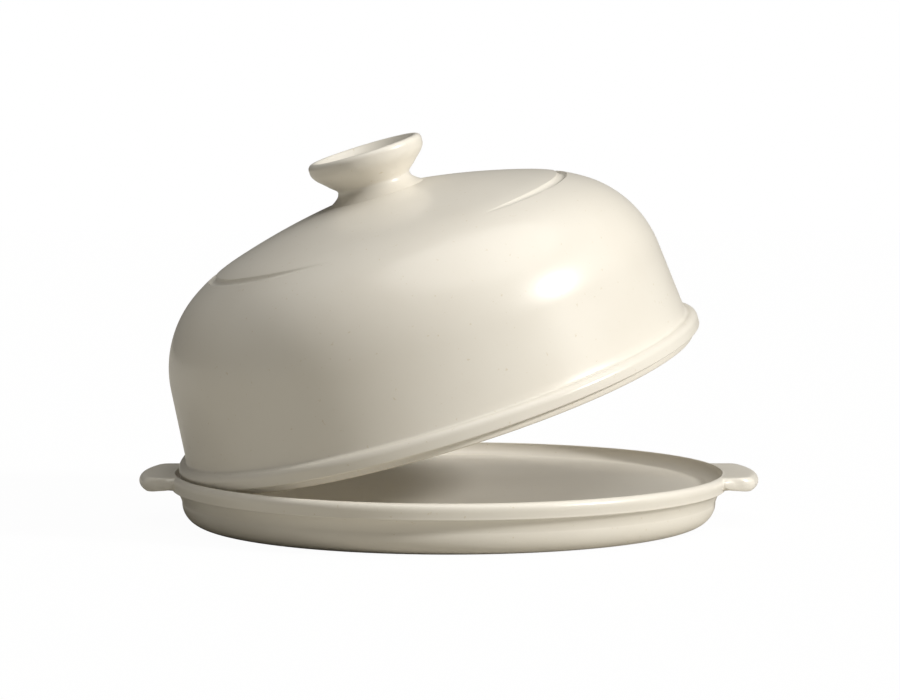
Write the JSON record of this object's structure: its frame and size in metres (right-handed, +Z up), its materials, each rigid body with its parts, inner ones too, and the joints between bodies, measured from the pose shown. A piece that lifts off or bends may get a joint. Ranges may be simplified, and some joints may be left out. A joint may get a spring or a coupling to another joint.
{
  "type": "bread cloche",
  "caption": "Round stoneware baking tray with two ear handles, under a domed lid with a dished knob that tips open on its seated edge.",
  "frame": {"origin": "centre of the tray's underside, on the surface it stands on", "axes": "+Z up, +X towards the right ear handle, -Y towards the front"},
  "size_m": [0.332, 0.2992, 0.208],
  "materials": {
    "tray_glaze": "glossy cream glaze over pale stoneware",
    "lid_glaze": "glossy cream glaze over pale stoneware"
  },
  "bodies": {
    "tray": {"tray": "tray_glaze", "left_ear": "tray_glaze", "right_ear": "tray_glaze"},
    "lid": {"dome": "lid_glaze", "knob": "lid_glaze"}
  },
  "joints": [
    {"name": "lid_tip", "type": "hinge", "parent": "tray", "child": "lid", "pos_m": [-0.13385, -0.03965, 0.0284], "axis": [0.284, -0.9588, 0], "range_deg": [-17.5, 27.5]}
  ]
}
